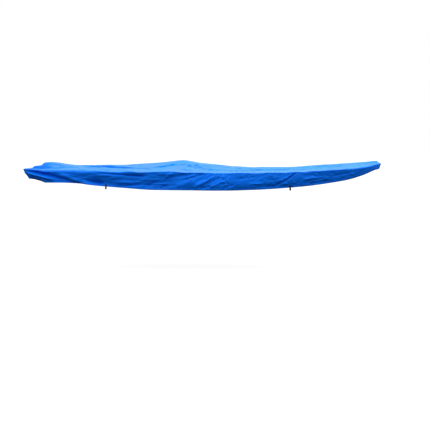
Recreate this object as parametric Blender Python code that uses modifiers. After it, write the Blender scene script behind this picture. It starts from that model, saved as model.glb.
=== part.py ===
"""A fitted boat cover, in the shape in which it is worn.

Metres. X runs from the square tail to the pointed nose, -Y is the near side and Z is up. The origin
is the underside of the cloth at the peak of the ridge, where a support holds the cover up. The cover
is one sheet of cloth: a top that falls from the ridge to a shoulder all round, and a skirt that hangs
from the shoulder to the hem. Four loops of webbing are sewn to the outside of the skirt at the hem.
"""

import bmesh
import bpy
import numpy as np
from mathutils import Vector

# Driving dimensions.
CLOTH = 0.003  # thickness of the sheet
SHOULDER_BEND = 0.020  # radius of the bend between the top and the skirt
TAIL_X = -2.500  # where the bend starts along the tail
NOSE_X = 3.149  # where the bend starts at the nose
FRONT_X = 2.600  # where the sides end and the pointed front starts
CORNER_RADIUS = 0.030  # plan radius of the tail's two corners
TAIL_CAMBER = 0.010  # how far the middle of the tail stands behind its corners
TAIL_RAKE = 0.65  # how far the tail slopes forward for each metre down
RAKE_FADE = 0.45  # how far along the sides the skirt slopes with the tail
RIDGE_ROUND = 0.09  # share of the half width over which the ridge is rounded
SAG = 1.40  # over 1, the top sags between the ridge and the shoulder

# The cover's lines from the tail to the front. lean is how far the skirt comes in for each metre down.
LINES = np.array(
    [
        # x, half_width, shoulder_z, hem_z, lean
        (TAIL_X, 0.600, -0.122, -0.281, 0.20),
        (-2.290, 0.660, -0.132, -0.325, 0.18),
        (-2.160, 0.697, -0.146, -0.342, 0.17),
        (-1.920, 0.757, -0.150, -0.340, 0.15),
        (-1.620, 0.823, -0.156, -0.352, 0.13),
        (-1.410, 0.862, -0.165, -0.378, 0.11),
        (-1.180, 0.896, -0.171, -0.398, 0.10),
        (-0.870, 0.936, -0.167, -0.421, 0.10),
        (-0.460, 0.974, -0.171, -0.447, 0.09),
        (0.100, 1.000, -0.173, -0.452, 0.08),
        (0.620, 1.000, -0.179, -0.456, 0.08),
        (1.140, 0.971, -0.181, -0.444, 0.10),
        (1.640, 0.900, -0.167, -0.415, 0.14),
        (2.020, 0.808, -0.156, -0.382, 0.20),
        (2.370, 0.673, -0.143, -0.337, 0.27),
        (FRONT_X, 0.545, -0.131, -0.302, 0.32),
        (2.800, 0.402, -0.112, -0.250, 0.35),
        (2.940, 0.270, -0.088, -0.200, 0.37),
        (3.070, 0.125, -0.056, -0.147, 0.38),
        (NOSE_X, 0.000, -0.042, -0.137, 0.38),
    ]
)

# The shoulder's plan round the pointed front, from the nose to the sides.
FRONT = np.array(
    [
        # half_width, x
        (0.000, NOSE_X),
        (0.035, 3.136),
        (0.125, 3.070),
        (0.270, 2.940),
        (0.402, 2.800),
        (0.545, FRONT_X),
    ]
)

# The ridge of the top along the middle: a hump near the tail, the peak, and a low run to the nose.
RIDGE = np.array(
    [
        # x, z
        (TAIL_X, -0.121),
        (-2.448, -0.117),
        (-2.418, -0.092),
        (-2.310, -0.077),
        (-2.240, -0.030),
        (-2.165, -0.024),
        (-2.040, -0.033),
        (-1.880, -0.048),
        (-1.770, -0.061),
        (-1.600, -0.071),
        (-1.280, -0.076),
        (-1.020, -0.072),
        (-0.765, -0.056),
        (-0.345, -0.029),
        (-0.144, -0.007),
        (0.000, CLOTH),
        (0.114, -0.014),
        (0.252, -0.038),
        (0.477, -0.060),
        (0.687, -0.083),
        (0.977, -0.104),
        (1.187, -0.110),
        (1.703, -0.104),
        (2.098, -0.076),
        (2.429, -0.057),
        (2.929, -0.021),
        (3.090, -0.008),
        (NOSE_X, -0.040),
    ]
)

# The hump near the tail: there the top stands up flat along the middle, above a lower ridge.
HUMP = np.array(
    [
        # x, low_ridge_z, weight, half_width, flank
        (TAIL_X, -0.121, 0.0, 0.28, 0.05),
        (-2.448, -0.117, 0.0, 0.28, 0.05),
        (-2.418, -0.110, 1.0, 0.28, 0.05),
        (-2.310, -0.102, 1.0, 0.26, 0.06),
        (-2.240, -0.097, 1.0, 0.12, 0.26),
        (-2.040, -0.086, 1.0, 0.10, 0.30),
        (-1.880, -0.078, 0.8, 0.08, 0.32),
        (-1.600, -0.071, 0.0, 0.08, 0.32),
    ]
)

# Folds of the skirt. down is 0 at the shoulder and 1 at the hem. A fold with a positive rise stands
# out, and one with a negative rise is a trough.
NEAR, FAR = -1, 1
SKIRT_FOLDS = (
    # side, x_from, down_from, x_to, down_to, rise, width
    (NEAR, -2.56, 0.04, -1.60, 0.96, -0.032, 0.034),
    (NEAR, -2.56, 0.22, -1.72, 0.98, 0.019, 0.024),
    (NEAR, -2.52, 0.40, -2.12, 0.98, -0.020, 0.024),
    (NEAR, -2.40, 0.06, -1.55, 0.20, 0.014, 0.044),
    (NEAR, -1.96, 0.44, -1.24, 0.98, 0.018, 0.026),
    (NEAR, -1.80, 0.42, -1.22, 0.80, -0.020, 0.028),
    (NEAR, -1.38, 0.06, -0.80, 0.24, -0.024, 0.026),
    (NEAR, -1.10, 0.34, -0.52, 0.42, 0.013, 0.030),
    (NEAR, -1.15, 0.57, -0.70, 0.52, -0.012, 0.030),
    (NEAR, -0.95, 0.80, -0.36, 0.74, -0.014, 0.028),
    (NEAR, -0.60, 0.62, -0.10, 0.50, 0.011, 0.032),
    (NEAR, -0.18, 0.66, 0.30, 0.12, -0.014, 0.030),
    (NEAR, -0.06, 0.86, 0.42, 0.34, 0.015, 0.032),
    (NEAR, 0.30, 0.82, 0.56, 0.30, -0.015, 0.030),
    (NEAR, 0.42, 0.90, 0.66, 0.38, 0.012, 0.030),
    (NEAR, 0.62, 0.72, 1.20, 0.28, 0.010, 0.038),
    (NEAR, 1.30, 0.74, 1.76, 0.03, -0.018, 0.030),
    (NEAR, 1.20, 0.50, 1.60, 0.12, 0.013, 0.036),
    (NEAR, 1.72, 0.60, 2.10, 0.28, 0.011, 0.036),
    (NEAR, 1.92, 0.88, 2.30, 0.50, -0.011, 0.032),
    (FAR, -2.55, 0.06, -1.66, 0.93, -0.028, 0.032),
    (FAR, -2.54, 0.28, -1.86, 0.95, 0.017, 0.024),
    (FAR, -2.36, 0.12, -1.55, 0.62, 0.014, 0.032),
    (FAR, -1.90, 0.30, -1.24, 0.90, -0.013, 0.030),
    (FAR, -1.40, 0.08, -0.80, 0.30, -0.015, 0.028),
    (FAR, -1.05, 0.50, -0.50, 0.78, 0.013, 0.030),
    (FAR, -0.62, 0.20, -0.12, 0.62, -0.014, 0.030),
    (FAR, -0.10, 0.74, 0.42, 0.24, 0.014, 0.032),
    (FAR, 0.22, 0.88, 0.66, 0.46, -0.014, 0.030),
    (FAR, 0.70, 0.16, 1.22, 0.66, -0.013, 0.032),
    (FAR, 1.02, 0.24, 1.40, 0.80, 0.012, 0.034),
    (FAR, 1.70, 0.10, 2.02, 0.80, -0.016, 0.030),
    (FAR, 2.10, 0.70, 2.46, 0.24, 0.011, 0.032),
)

# Folds of the flap over the tail. y runs across the cover.
FLAP_FOLDS = (
    # y_from, down_from, y_to, down_to, rise, width
    (-0.58, 0.08, -0.28, 0.94, -0.015, 0.028),
    (-0.60, 0.32, -0.44, 0.98, 0.012, 0.024),
    (0.58, 0.08, 0.20, 0.90, -0.014, 0.030),
    (0.60, 0.34, 0.46, 0.98, 0.012, 0.024),
    (-0.24, 0.20, 0.12, 0.62, 0.010, 0.036),
)

# Folds of the top. across is -1 at the near shoulder, 0 on the ridge and 1 at the far shoulder.
TOP_FOLDS = (
    # x_from, across_from, x_to, across_to, rise, width
    (-2.42, -0.66, -2.00, -0.34, -0.018, 0.060),
    (-2.42, 0.64, -1.94, 0.30, -0.018, 0.060),
    (-1.55, -0.30, -0.50, -0.52, -0.018, 0.055),
    (-1.60, 0.44, -0.70, 0.22, -0.015, 0.055),
    (-0.08, -0.06, -0.72, -0.70, 0.012, 0.055),
    (0.08, -0.06, 0.66, -0.72, 0.012, 0.055),
    (-0.08, 0.06, -0.62, 0.74, 0.012, 0.055),
    (0.08, 0.06, 0.72, 0.66, 0.012, 0.055),
    (0.75, -0.34, 1.90, -0.20, -0.012, 0.065),
    (0.90, 0.36, 2.00, 0.22, -0.012, 0.065),
)
FOLD_FADE = 0.22  # share of a fold's length over which each end fades out
EDGE_HOLD = 0.12  # share of the half width beside the shoulder that stays free of the top's folds

# Webbing loops, at the same places on both sides.
LOOP_X = {"aft": -1.195, "fore": 1.657}
WEB_WIDTH = 0.025
WEB_THICKNESS = 0.0018
LOOP_SEWN = 0.045  # height of the sewn part above the hem
LOOP_DROP = 0.042  # depth of the loop below the hem
EYE_WIDTH = 0.016  # clear width of the eye
EYE_CLOSING = ((0.62, -0.014), (0.22, -0.008), (0.0, -0.003))  # share of the width, height from the hem
WEB_GAP = 0.0004  # between the webbing and the cloth, and between the webbing's two layers
LOOP_PATCH = 0.034  # half width of the flat patch of skirt behind a loop
PATCH_FADE = 0.045  # beyond the patch, the width over which the skirt's folds come back

# Grid of the sheet.
TAIL_STEP, SIDE_STEP = 0.050, 0.082
FINE_TO_X = -1.50
ACROSS = 14
SKIRT_ROWS = 7
BEND_ROWS = 2
FRONT_PULL, TAIL_PULL = 4, 16  # how fast the top's cross lines straighten away from its two ends


def curve_through(table, x, column=1):
    """Smooth values through a table's rows, which never swing past them (a monotone cubic)."""
    xs, ys = table[:, 0], table[:, column]
    steps, slopes = np.diff(xs), np.diff(ys) / np.diff(xs)
    tangent = np.concatenate([slopes[:1], np.zeros(len(slopes) - 1), slopes[-1:]])
    same_sign = slopes[:-1] * slopes[1:] > 0
    before, after = 2 * steps[1:] + steps[:-1], steps[1:] + 2 * steps[:-1]
    harmonic = before[same_sign] / slopes[:-1][same_sign] + after[same_sign] / slopes[1:][same_sign]
    tangent[1:-1][same_sign] = (before + after)[same_sign] / harmonic
    x = np.clip(x, xs[0], xs[-1])
    i = np.clip(np.searchsorted(xs, x, side="right") - 1, 0, len(slopes) - 1)
    t = (x - xs[i]) / steps[i]
    from_start = ys[i] * (1 + 2 * t) * (1 - t) ** 2 + tangent[i] * steps[i] * t * (1 - t) ** 2
    return from_start + ys[i + 1] * t**2 * (3 - 2 * t) + tangent[i + 1] * steps[i] * t**2 * (t - 1)


def corner_inset(distance):
    """How far a rounded corner pulls the outline in, at a distance before the corner's square point."""
    short = np.clip(CORNER_RADIUS - distance, 0, CORNER_RADIUS)
    return CORNER_RADIUS - np.sqrt(CORNER_RADIUS**2 - short**2)


def half_width(x):
    """The shoulder's distance from the middle."""
    side_y = curve_through(LINES, x, 1)
    front_y = np.linspace(0, FRONT[-1, 0], 200)
    front_x = curve_through(FRONT, front_y)
    in_front = np.interp(x, front_x[::-1], front_y[::-1])
    return np.where(x > FRONT_X, in_front, side_y) - corner_inset(x - TAIL_X)


def tail_x(y):
    """The shoulder's place along the tail, with its camber and its rounded corners."""
    half = LINES[0, 1]
    return TAIL_X - TAIL_CAMBER * (1 - (y / half) ** 2) + corner_inset(half - np.abs(y))


def smooth_step(share):
    """0 up to 0, 1 from 1 on, and smooth between."""
    share = np.clip(share, 0, 1)
    return share * share * (3 - 2 * share)


def folds_height(x, across, folds, reach):
    """Height that straight folds add at places (x, across), where reach turns across into metres."""
    total = np.zeros_like(x)
    for x_from, across_from, x_to, across_to, rise, width in folds:
        run, climb = x_to - x_from, (across_to - across_from) * reach
        length = np.hypot(run, climb)
        ahead, aside = x - x_from, (across - across_from) * reach
        along = (ahead * run + aside * climb) / length
        away = (ahead * climb - aside * run) / length
        from_end = smooth_step(np.minimum(along, length - along) / (FOLD_FADE * length))
        total += rise * np.exp(-((away / width) ** 2)) * from_end
    return total


def top_height(x, y):
    """Height of the top at a place inside the shoulder."""
    shoulder, ridge = curve_through(LINES, x, 2), curve_through(RIDGE, x)
    low_ridge = np.where(x < HUMP[-1, 0], curve_through(HUMP, x, 1), ridge)
    beside = half_width(x)
    across = y / np.maximum(beside, RIDGE_ROUND)
    away = np.hypot(across, RIDGE_ROUND) - RIDGE_ROUND
    share = np.clip(1 - away / (np.hypot(1, RIDGE_ROUND) - RIDGE_ROUND), 0, 1)
    sagged = shoulder + (low_ridge - shoulder) * share**SAG
    weight, flat_half, flank = (curve_through(HUMP, x, column) for column in (2, 3, 4))
    on_hump = weight * smooth_step((flat_half + flank - np.abs(y)) / flank)
    free = np.clip((1 - np.abs(across)) / EDGE_HOLD, 0, 1)
    return sagged + (ridge - sagged) * on_hump + free * folds_height(x, across, TOP_FOLDS, beside)


def loop_patches(x, down):
    """1 where the skirt may fold, and 0 on the flat patches behind the loops."""
    free = np.ones_like(x)
    for loop_x in LOOP_X.values():
        beside = np.clip((np.abs(x - loop_x) - LOOP_PATCH) / PATCH_FADE, 0, 1)
        free *= 1 - (1 - beside) * np.clip(2 * down, 0, 1)
    return free


def rake(x, drop):
    """How far forward the skirt lies at a drop below the bend, on and beside the sloping tail."""
    return TAIL_RAKE * drop * (1 - smooth_step((x - TAIL_X) / RAKE_FADE))


def skirt_point(x, y, out_x, out_y, down):
    """Place on the skirt under a point of the shoulder: down is 0 at the bend and 1 at the hem."""
    shoulder_z, hem_z = curve_through(LINES, x, 2), curve_through(LINES, x, 3)
    on_tail = (x < TAIL_X + 2 * CORNER_RADIUS) * np.clip(-out_x, 0, 1) ** 2
    drop = down * (shoulder_z - SHOULDER_BEND - hem_z)
    forward = rake(x, drop)
    fold = np.zeros_like(x)
    for side in (NEAR, FAR):
        rows = [row[1:] for row in SKIRT_FOLDS if row[0] == side]
        fold += folds_height(x + forward, down, rows, shoulder_z - hem_z) * (np.sign(y) == side)
    fold *= loop_patches(x, down) * (1 - on_tail)
    fold += folds_height(y, down, FLAP_FOLDS, shoulder_z - hem_z) * on_tail
    away = SHOULDER_BEND - curve_through(LINES, x, 4) * (1 - on_tail) * drop + fold
    return x + out_x * away + forward, y + out_y * away, shoulder_z - SHOULDER_BEND - drop


def side_stations():
    """Places of the sheet's cross lines from the tail's corners to the pointed front."""
    corner = TAIL_X + CORNER_RADIUS * (1 - np.sqrt(0.5))
    patches = [x + side * LOOP_PATCH for x in LOOP_X.values() for side in (-1, 1)]
    marks = sorted([corner, TAIL_X + CORNER_RADIUS, FINE_TO_X, *patches, FRONT_X])
    stations = [corner]
    for start, end in zip(marks, marks[1:]):
        step = TAIL_STEP if end <= FINE_TO_X else SIDE_STEP
        pieces = max(1, round((end - start) / step))
        stations += list(np.linspace(start, end, pieces + 1)[1:])
    return np.array(stations)


def shoulder_loop(stations):
    """The shoulder in plan: forward on the near side, round the front, back on the far side, and along the tail."""
    side_y = half_width(stations)
    front_y = np.linspace(-side_y[-1], side_y[-1], ACROSS + 1)
    tail_y = np.linspace(side_y[0], -side_y[0], ACROSS + 1)
    front_x = curve_through(FRONT, np.abs(front_y))
    x = np.concatenate([stations[:-1], front_x[:-1], stations[:0:-1], tail_x(tail_y)[:-1]])
    y = np.concatenate([-side_y[:-1], front_y[:-1], side_y[:0:-1], tail_y[:-1]])
    return x, y


def outward(x, y):
    """Unit directions out of a loop in plan, square to it."""
    along_x, along_y = np.roll(x, -1) - np.roll(x, 1), np.roll(y, -1) - np.roll(y, 1)
    length = np.hypot(along_x, along_y)
    return along_y / length, -along_x / length


def top_points(stations):
    """The top's points, as arrays of cross lines by places across."""
    share = ((stations - stations[0]) / (stations[-1] - stations[0]))[:, None]
    side_y = half_width(stations)
    across = np.linspace(-1, 1, ACROSS + 1)
    past_front = curve_through(FRONT, np.abs(across * side_y[-1])) - FRONT_X
    past_tail = tail_x(across * side_y[0]) - stations[0]
    x = stations[:, None] + share**FRONT_PULL * past_front + (1 - share) ** TAIL_PULL * past_tail
    y = side_y[:, None] * across
    z = top_height(x, y)
    for rim in np.s_[0, :], np.s_[-1, :], np.s_[:, 0], np.s_[:, -1]:
        z[rim] = curve_through(LINES, x[rim], 2)
    return x, y, z


def skirt_rings(stations):
    """The points of the bend and of the skirt, as rings that run round the cover, from the top down."""
    x, y = shoulder_loop(stations)
    out_x, out_y = outward(x, y)
    z = curve_through(LINES, x, 2)
    rings = []
    for turn in np.linspace(0, np.pi / 2, BEND_ROWS + 1)[:-1]:
        away, fall = SHOULDER_BEND * np.sin(turn), SHOULDER_BEND * (1 - np.cos(turn))
        rings.append((x + out_x * away, y + out_y * away, z - fall))
    for down in np.linspace(0, 1, SKIRT_ROWS + 1):
        rings.append(skirt_point(x, y, out_x, out_y, np.full_like(x, down)))
    return np.array(rings)


def add_grid(bm, columns, rows, place):
    """Adds a flat grid and moves each of its points (column, row) to where place says."""
    for vert in bmesh.ops.create_grid(bm, x_segments=columns, y_segments=rows, size=0.5)["verts"]:
        vert.co = place(round((vert.co.x + 0.5) * columns), round((vert.co.y + 0.5) * rows))


def face_out(bm):
    """Turns all faces the same way, with the highest one facing up."""
    bmesh.ops.recalc_face_normals(bm, faces=bm.faces)
    highest = max(bm.faces, key=lambda face: face.calc_center_median().z)
    if highest.normal.z < 0:
        bmesh.ops.reverse_faces(bm, faces=bm.faces)


def add_piece(parts, name, bm, material, thickness, offset):
    """Makes a named sheet of some thickness from an open surface."""
    mesh = bpy.data.meshes.new(name)
    bm.to_mesh(mesh)
    bm.free()
    mesh.materials.append(material)
    mesh.shade_smooth()
    piece = bpy.data.objects.new(name, mesh)
    parts.objects.link(piece)
    shell = piece.modifiers.new("thickness", "SOLIDIFY")
    shell.thickness = thickness
    shell.offset = offset
    shell.use_even_offset = True


def make_material(name, colour, roughness):
    """A plain finish."""
    material = bpy.data.materials.new(name)
    material.use_nodes = True
    shader = material.node_tree.nodes["Principled BSDF"]
    shader.inputs["Base Color"].default_value = (*colour, 1)
    shader.inputs["Roughness"].default_value = roughness
    return material


def make_cover(parts, blue):
    """The one sheet of cloth: the top, and the skirt round it."""
    stations = side_stations()
    top_x, top_y, top_z = top_points(stations)
    rings = skirt_rings(stations)
    around = rings.shape[2]
    bm = bmesh.new()
    add_grid(bm, len(stations) - 1, ACROSS, lambda i, j: (top_x[i, j], top_y[i, j], top_z[i, j]))
    add_grid(bm, around, len(rings) - 1, lambda i, j: rings[j, :, i % around])
    bmesh.ops.remove_doubles(bm, verts=bm.verts, dist=0.0001)
    face_out(bm)
    add_piece(parts, "cover", bm, blue, CLOTH, -1)


def loop_route():
    """Middle line of a loop's webbing, as (away from the cloth, up from the hem)."""
    inner = WEB_GAP + WEB_THICKNESS / 2
    outer = inner + WEB_THICKNESS + WEB_GAP
    eye_radius = (EYE_WIDTH + WEB_THICKNESS) / 2
    turns = np.linspace(0, np.pi, 9)
    bottom = [
        (inner + eye_radius * (1 - np.cos(turn)), eye_radius * (1 - np.sin(turn)) - LOOP_DROP)
        for turn in turns
    ]
    closing = [(outer + share * EYE_WIDTH, rise) for share, rise in EYE_CLOSING]
    return [(inner, LOOP_SEWN), (inner, 0.0), *bottom, *closing, (outer, LOOP_SEWN)]


def loop_frame(loop_x, side):
    """The hem's point behind a loop, and the directions out, up and along there."""
    x, down = np.full(2, loop_x), np.array([1.0, 0.6])
    y = side * half_width(x)
    hem, above = (Vector(p) for p in np.array(skirt_point(x, y, np.zeros(2), np.full(2, side), down)).T)
    slope = side * float(np.diff(half_width(np.array([loop_x - LOOP_PATCH, loop_x + LOOP_PATCH])))[0])
    up = (above - hem).normalized()
    along = Vector((2 * LOOP_PATCH, slope, 0)).normalized()
    out = along.cross(up) * -side
    return hem, out.normalized(), up, along


def make_loop(parts, black, name, loop_x, side):
    """A strip of webbing folded into a loop, with both ends sewn to the skirt above the hem."""
    hem, out, up, along = loop_frame(loop_x, side)
    route = loop_route()

    def place(i, j):
        away, rise = route[i]
        return hem + out * away + up * rise + along * (j - 0.5) * WEB_WIDTH

    bm = bmesh.new()
    add_grid(bm, len(route) - 1, 1, place)
    add_piece(parts, name, bm, black, WEB_THICKNESS, 0)


def main():
    for thing in list(bpy.data.objects):
        bpy.data.objects.remove(thing)
    parts = bpy.data.collections.new("boat_cover")
    bpy.context.scene.collection.children.link(parts)
    make_cover(parts, make_material("blue_cloth", (0.012, 0.13, 0.56), 0.5))
    black = make_material("black_webbing", (0.012, 0.012, 0.014), 0.8)
    for side_name, side in (("near", NEAR), ("far", FAR)):
        for place, loop_x in LOOP_X.items():
            make_loop(parts, black, f"strap_loop_{side_name}_{place}", loop_x, side)


main()
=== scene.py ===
import math

import bmesh
import bpy
import numpy as np
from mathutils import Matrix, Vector
from mathutils.bvhtree import BVHTree


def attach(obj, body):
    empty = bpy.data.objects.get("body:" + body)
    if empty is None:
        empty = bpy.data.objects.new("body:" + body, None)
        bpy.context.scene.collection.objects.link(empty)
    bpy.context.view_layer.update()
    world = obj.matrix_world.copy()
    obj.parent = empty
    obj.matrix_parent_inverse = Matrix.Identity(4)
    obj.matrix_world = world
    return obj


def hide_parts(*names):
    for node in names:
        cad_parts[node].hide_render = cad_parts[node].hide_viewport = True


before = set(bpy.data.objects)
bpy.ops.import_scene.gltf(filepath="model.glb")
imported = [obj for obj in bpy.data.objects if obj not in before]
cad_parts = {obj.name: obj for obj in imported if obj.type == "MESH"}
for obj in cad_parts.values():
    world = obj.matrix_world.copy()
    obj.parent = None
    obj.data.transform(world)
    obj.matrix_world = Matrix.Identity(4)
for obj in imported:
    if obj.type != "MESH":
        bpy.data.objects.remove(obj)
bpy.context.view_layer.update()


# ------------------------------------------------------------
# The stage: a plain pale floor far below, a soft sky and one wide soft lamp over the far side.
# The camera stands level with the cover, 22 m off its near side, as in the photo.
CAMERA_PLACE = (0.4935, -22.0, 0.248)
CAMERA_PITCH = math.radians(2.94)  # down
LENS, SENSOR = 114.2, 36.0
FLOOR_Z = -1.69
FLOOR_GLOW = 0.80  # share of the floor's light that no shadow dims
SKY_TOP, SKY_RIM, SKY_BELOW = 2.30, 0.54, 0.08
LAMP_PLACE, LAMP_SIZE, LAMP_POWER = (2.4, 3.8, 6.0), (9.0, 6.0), 860.0


class Value:
    """A socket's output. Arithmetic on it adds Math nodes to its tree."""

    def __init__(self, tree, socket):
        self.tree, self.socket = tree, socket

    def maths(self, operation, *values):
        return self.tree.add("ShaderNodeMath", {"operation": operation}, dict(enumerate(values)))

    def __add__(self, other):
        return self.maths("ADD", self, other)

    def __sub__(self, other):
        return self.maths("SUBTRACT", self, other)

    def __rsub__(self, other):
        return self.maths("SUBTRACT", other, self)

    def __mul__(self, other):
        return self.maths("MULTIPLY", self, other)

    def __gt__(self, other):
        return self.maths("GREATER_THAN", self, other)

    __radd__, __rmul__ = __add__, __mul__


class Tree:
    """A node tree that is filled by calls."""

    def __init__(self, nodes, links):
        self.nodes, self.links = nodes, links

    def add(self, kind, settings=None, inputs=None, output=0):
        node = self.nodes.new(kind)
        for name, setting in (settings or {}).items():
            if name == "stops":
                self.set_stops(node.color_ramp, setting)
            else:
                setattr(node, name, setting)
        for name, value in (inputs or {}).items():
            if isinstance(value, Value):
                self.links.new(value.socket, node.inputs[name])
            else:
                node.inputs[name].default_value = value
        return Value(self, node.outputs[output]) if len(node.outputs) else node

    def set_stops(self, ramp, stops):
        while len(ramp.elements) < len(stops):
            ramp.elements.new(0.5)
        for element, (place, colour) in zip(ramp.elements, stops):
            element.position, element.color = place, (*colour, 1.0)


def new_material(name):
    material = bpy.data.materials.new(name)
    material.use_nodes = True
    material.node_tree.nodes.clear()
    return material, Tree(material.node_tree.nodes, material.node_tree.links)


def show_shader(tree, shader):
    tree.add("ShaderNodeOutputMaterial", inputs={"Surface": shader})


def link_object(name, data):
    thing = bpy.data.objects.new(name, data)
    bpy.context.scene.collection.objects.link(thing)
    return thing


camera = link_object("camera", bpy.data.cameras.new("camera"))
camera.data.lens, camera.data.sensor_width = LENS, SENSOR
camera.data.clip_end = 500
camera.location = CAMERA_PLACE
camera.rotation_euler = (math.pi / 2 - CAMERA_PITCH, 0, 0)
stage = bpy.context.scene
stage.camera = camera
stage.view_settings.view_transform = "Standard"

world = bpy.data.worlds.new("overcast")
world.use_nodes = True
stage.world = world
world.node_tree.nodes.clear()
sky = Tree(world.node_tree.nodes, world.node_tree.links)
direction = sky.add("ShaderNodeTexCoord")
height = sky.add("ShaderNodeSeparateXYZ", inputs={0: direction}, output=2)
above = height > 0.0
light = (SKY_RIM + height * (SKY_TOP - SKY_RIM)) * above + (1 - above) * SKY_BELOW
seen = sky.add("ShaderNodeLightPath")
strength = seen + (1 - seen) * light
background = sky.add("ShaderNodeBackground", inputs={"Color": (1, 1, 1, 1), "Strength": strength})
sky.add("ShaderNodeOutputWorld", inputs={"Surface": background})

lamp = link_object("lamp", bpy.data.lights.new("lamp", "AREA"))
lamp.data.shape, lamp.data.size, lamp.data.size_y = "RECTANGLE", *LAMP_SIZE
lamp.data.energy = LAMP_POWER
lamp.visible_glossy = False
lamp.location = LAMP_PLACE
lamp.rotation_euler = Vector(LAMP_PLACE).to_track_quat("Z", "Y").to_euler()

bpy.ops.mesh.primitive_plane_add(size=400, location=(0, 0, FLOOR_Z))
floor = bpy.context.object
floor.name = "floor"
floor.visible_diffuse = floor.visible_glossy = False
paper, tree = new_material("white_paper")
shade = tree.add("ShaderNodeBsdfDiffuse", inputs={"Color": (0.95, 0.95, 0.95, 1)})
glow = tree.add("ShaderNodeEmission", inputs={"Color": (1, 1, 1, 1), "Strength": 1.05})
show_shader(tree, tree.add("ShaderNodeMixShader", inputs={0: FLOOR_GLOW, 1: shade, 2: glow}))
floor.data.materials.append(paper)


# ------------------------------------------------------------
# The cover cloth: one sheet of blue coated polyester, drawn tight over a shoulder all round, raised
# along the middle to a low peak, and gathered below the shoulder. Its folds lie where the photo
# shows them, and smaller crinkles are scattered along the pull of the cloth.
CLOTH = 0.0016
TAIL_X, NOSE_X, FRONT_X = -2.500, 3.149, 2.600
CORNER_RADIUS, TAIL_CAMBER = 0.030, 0.010
TAIL_RAKE, RAKE_FADE = 0.65, 0.45  # way forward of the tail for each metre down, and its reach
SHOULDER_OUT = 0.020  # from the shoulder's line to the skirt's outer face
RIDGE_ROUND, SAG = 0.07, 1.90
LINES = (
    # x, half_width, shoulder_z, hem_z, lean, bend_radius
    (TAIL_X, 0.600, -0.122, -0.281, 0.20, 0.018),
    (-2.290, 0.660, -0.132, -0.325, 0.18, 0.045),
    (-2.160, 0.697, -0.140, -0.342, 0.17, 0.055),
    (-1.920, 0.757, -0.139, -0.340, 0.15, 0.055),
    (-1.620, 0.823, -0.144, -0.352, 0.13, 0.050),
    (-1.410, 0.862, -0.151, -0.378, 0.11, 0.045),
    (-1.180, 0.896, -0.159, -0.398, 0.10, 0.034),
    (-0.870, 0.936, -0.166, -0.421, 0.10, 0.018),
    (-0.460, 0.974, -0.171, -0.447, 0.09, 0.010),
    (0.100, 1.000, -0.173, -0.452, 0.08, 0.010),
    (0.620, 1.000, -0.179, -0.456, 0.08, 0.010),
    (1.140, 0.971, -0.181, -0.444, 0.10, 0.010),
    (1.640, 0.900, -0.167, -0.415, 0.14, 0.010),
    (2.020, 0.808, -0.156, -0.382, 0.20, 0.010),
    (2.370, 0.673, -0.143, -0.337, 0.27, 0.010),
    (FRONT_X, 0.545, -0.127, -0.302, 0.31, 0.010),
    (2.800, 0.402, -0.104, -0.250, 0.33, 0.010),
    (2.940, 0.270, -0.088, -0.200, 0.26, 0.010),
    (3.070, 0.125, -0.056, -0.147, 0.12, 0.012),
    (NOSE_X, 0.000, -0.042, -0.137, 0.38, 0.014),
)
SHOULDER_WAVES = (
    # x, rise: small waves of the shoulder's line
    (TAIL_X, 0.000),
    (-1.460, 0.002),
    (-1.360, 0.010),
    (-1.260, 0.004),
    (-1.140, 0.000),
    (-0.960, 0.001),
    (-0.850, 0.009),
    (-0.780, 0.008),
    (-0.700, 0.000),
    (-0.560, 0.002),
    (-0.340, 0.011),
    (-0.200, 0.015),
    (-0.070, 0.007),
    (0.020, -0.002),
    (0.380, 0.000),
    (0.500, -0.006),
    (0.700, -0.006),
    (0.860, 0.002),
    (1.130, -0.003),
    (1.260, 0.001),
    (1.500, -0.004),
    (1.590, -0.010),
    (1.690, -0.001),
    (1.800, -0.003),
    (1.880, -0.009),
    (1.970, 0.002),
    (2.100, 0.000),
    (2.260, 0.006),
    (2.500, 0.006),
    (2.620, 0.000),
    (NOSE_X, 0.000),
)
FRONT = (
    # half_width, x
    (0.000, NOSE_X),
    (0.035, 3.136),
    (0.125, 3.070),
    (0.270, 2.940),
    (0.402, 2.800),
    (0.545, FRONT_X),
)
RIDGE = (
    # x, z
    (TAIL_X, -0.122),
    (-2.425, -0.118),
    (-2.392, -0.094),
    (-2.284, -0.080),
    (-2.215, -0.032),
    (-2.145, -0.026),
    (-2.030, -0.035),
    (-1.880, -0.049),
    (-1.770, -0.062),
    (-1.600, -0.072),
    (-1.280, -0.076),
    (-1.020, -0.072),
    (-0.765, -0.056),
    (-0.345, -0.029),
    (-0.144, -0.007),
    (0.000, 0.003),
    (0.114, -0.014),
    (0.252, -0.038),
    (0.477, -0.060),
    (0.687, -0.083),
    (0.977, -0.104),
    (1.187, -0.110),
    (1.703, -0.104),
    (2.098, -0.076),
    (2.429, -0.057),
    (2.929, -0.021),
    (3.090, -0.008),
    (NOSE_X, -0.040),
)
HUMP_BOW, BOW_Y, BOW_END, BOW_FADE = 0.60, -0.20, -2.15, 0.10  # the hump's aft edge bows forward
FAR_FLANK = 0.07  # how much wider the hump's flank is on the far side
HUMP = (
    # x, low_ridge_z, weight, half_width, flank: the top stands up flat near the tail
    (TAIL_X, -0.122, 0.0, 0.28, 0.03),
    (-2.425, -0.120, 0.0, 0.28, 0.02),
    (-2.392, -0.119, 1.0, 0.235, 0.030),
    (-2.284, -0.117, 1.0, 0.235, 0.080),
    (-2.180, -0.110, 1.0, 0.22, 0.17),
    (-2.030, -0.094, 1.0, 0.14, 0.30),
    (-1.880, -0.080, 0.8, 0.08, 0.36),
    (-1.600, -0.072, 0.0, 0.08, 0.36),
)
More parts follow.
